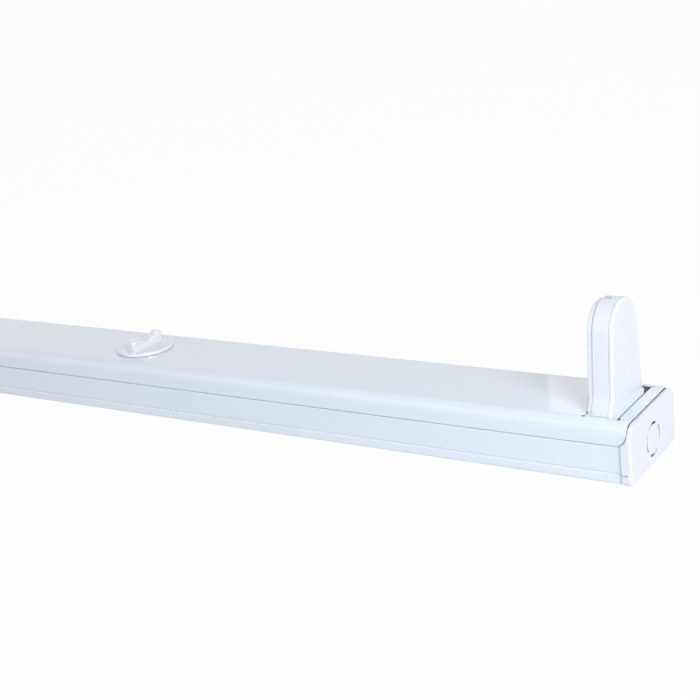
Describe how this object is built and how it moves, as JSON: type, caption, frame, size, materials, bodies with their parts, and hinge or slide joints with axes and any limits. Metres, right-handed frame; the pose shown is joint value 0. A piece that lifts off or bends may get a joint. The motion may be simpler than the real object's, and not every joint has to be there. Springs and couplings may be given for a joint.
{
  "type": "tube light fixture",
  "caption": "Slim surface-mounted batten fitting for one straight two-pin tube lamp, with a lift-off cover, turning lampholder rotors and an enclosed ballast.",
  "frame": {"origin": "centre of the flat mounting back, on its outer face", "axes": "+X along the fitting, +Z out of the mounting back towards the lamp, -Y the side that faces the picture's camera"},
  "size_m": [0.64, 0.058, 0.0833],
  "materials": {
    "white_sheet": "gloss",
    "white_moulding": "gloss",
    "clear_white_knob": "gloss",
    "zinc_steel": "satin",
    "ballast_sheet": "satin",
    "natural_moulding": "matte",
    "brass": "satin",
    "grommet_rubber": "matte",
    "brown_insulation": "satin",
    "blue_insulation": "satin",
    "green_yellow_insulation": "satin",
    "white_insulation": "satin"
  },
  "bodies": {
    "body": {"base_channel": "white_sheet", "cable_grommet": "grommet_rubber", "end_cap_left": "white_moulding", "end_cap_right": "white_moulding", "holder_bracket_left": "zinc_steel", "holder_bracket_right": "zinc_steel", "lampholder_left": "white_moulding", "lampholder_right": "white_moulding", "holder_back_left": "white_moulding", "holder_back_right": "white_moulding", "contacts_left": "brass", "contacts_right": "brass", "knob_bridge": "zinc_steel", "tray_rivets": "zinc_steel", "ballast_base": "zinc_steel", "ballast_case": "ballast_sheet", "ballast_terminals": "natural_moulding", "ballast_screws": "zinc_steel", "terminal_block": "natural_moulding", "terminal_screws": "brass", "terminal_fixing_screws": "zinc_steel", "earth_screw": "brass", "earth_lug": "zinc_steel", "wire_live": "brown_insulation", "wire_neutral": "blue_insulation", "wire_earth": "green_yellow_insulation", "lamp_wires_left": "white_insulation", "lamp_wires_right": "white_insulation"},
    "cover_body": {"cover": "white_sheet"},
    "knob_body": {"wing_knob": "clear_white_knob", "knob_washer": "zinc_steel"},
    "rotor_left_body": {"rotor_left": "white_moulding"},
    "rotor_right_body": {"rotor_right": "white_moulding"}
  },
  "joints": [
    {"name": "cover_lift", "type": "slide", "parent": "body", "child": "cover_body", "axis": [0, 0, 1], "range_m": [0, 0.07]},
    {"name": "knob_turn", "type": "hinge", "parent": "cover_body", "child": "knob_body", "pos_m": [0, 0, 0.031], "axis": [0, 0, 1], "range_deg": [0, 90]},
    {"name": "rotor_left_turn", "type": "hinge", "parent": "body", "child": "rotor_left_body", "pos_m": [-0.2953, 0, 0.068], "axis": [1, 0, 0], "range_deg": [0, 90]},
    {"name": "rotor_right_turn", "type": "hinge", "parent": "body", "child": "rotor_right_body", "pos_m": [0.2953, 0, 0.068], "axis": [1, 0, 0], "range_deg": [0, 90]}
  ]
}
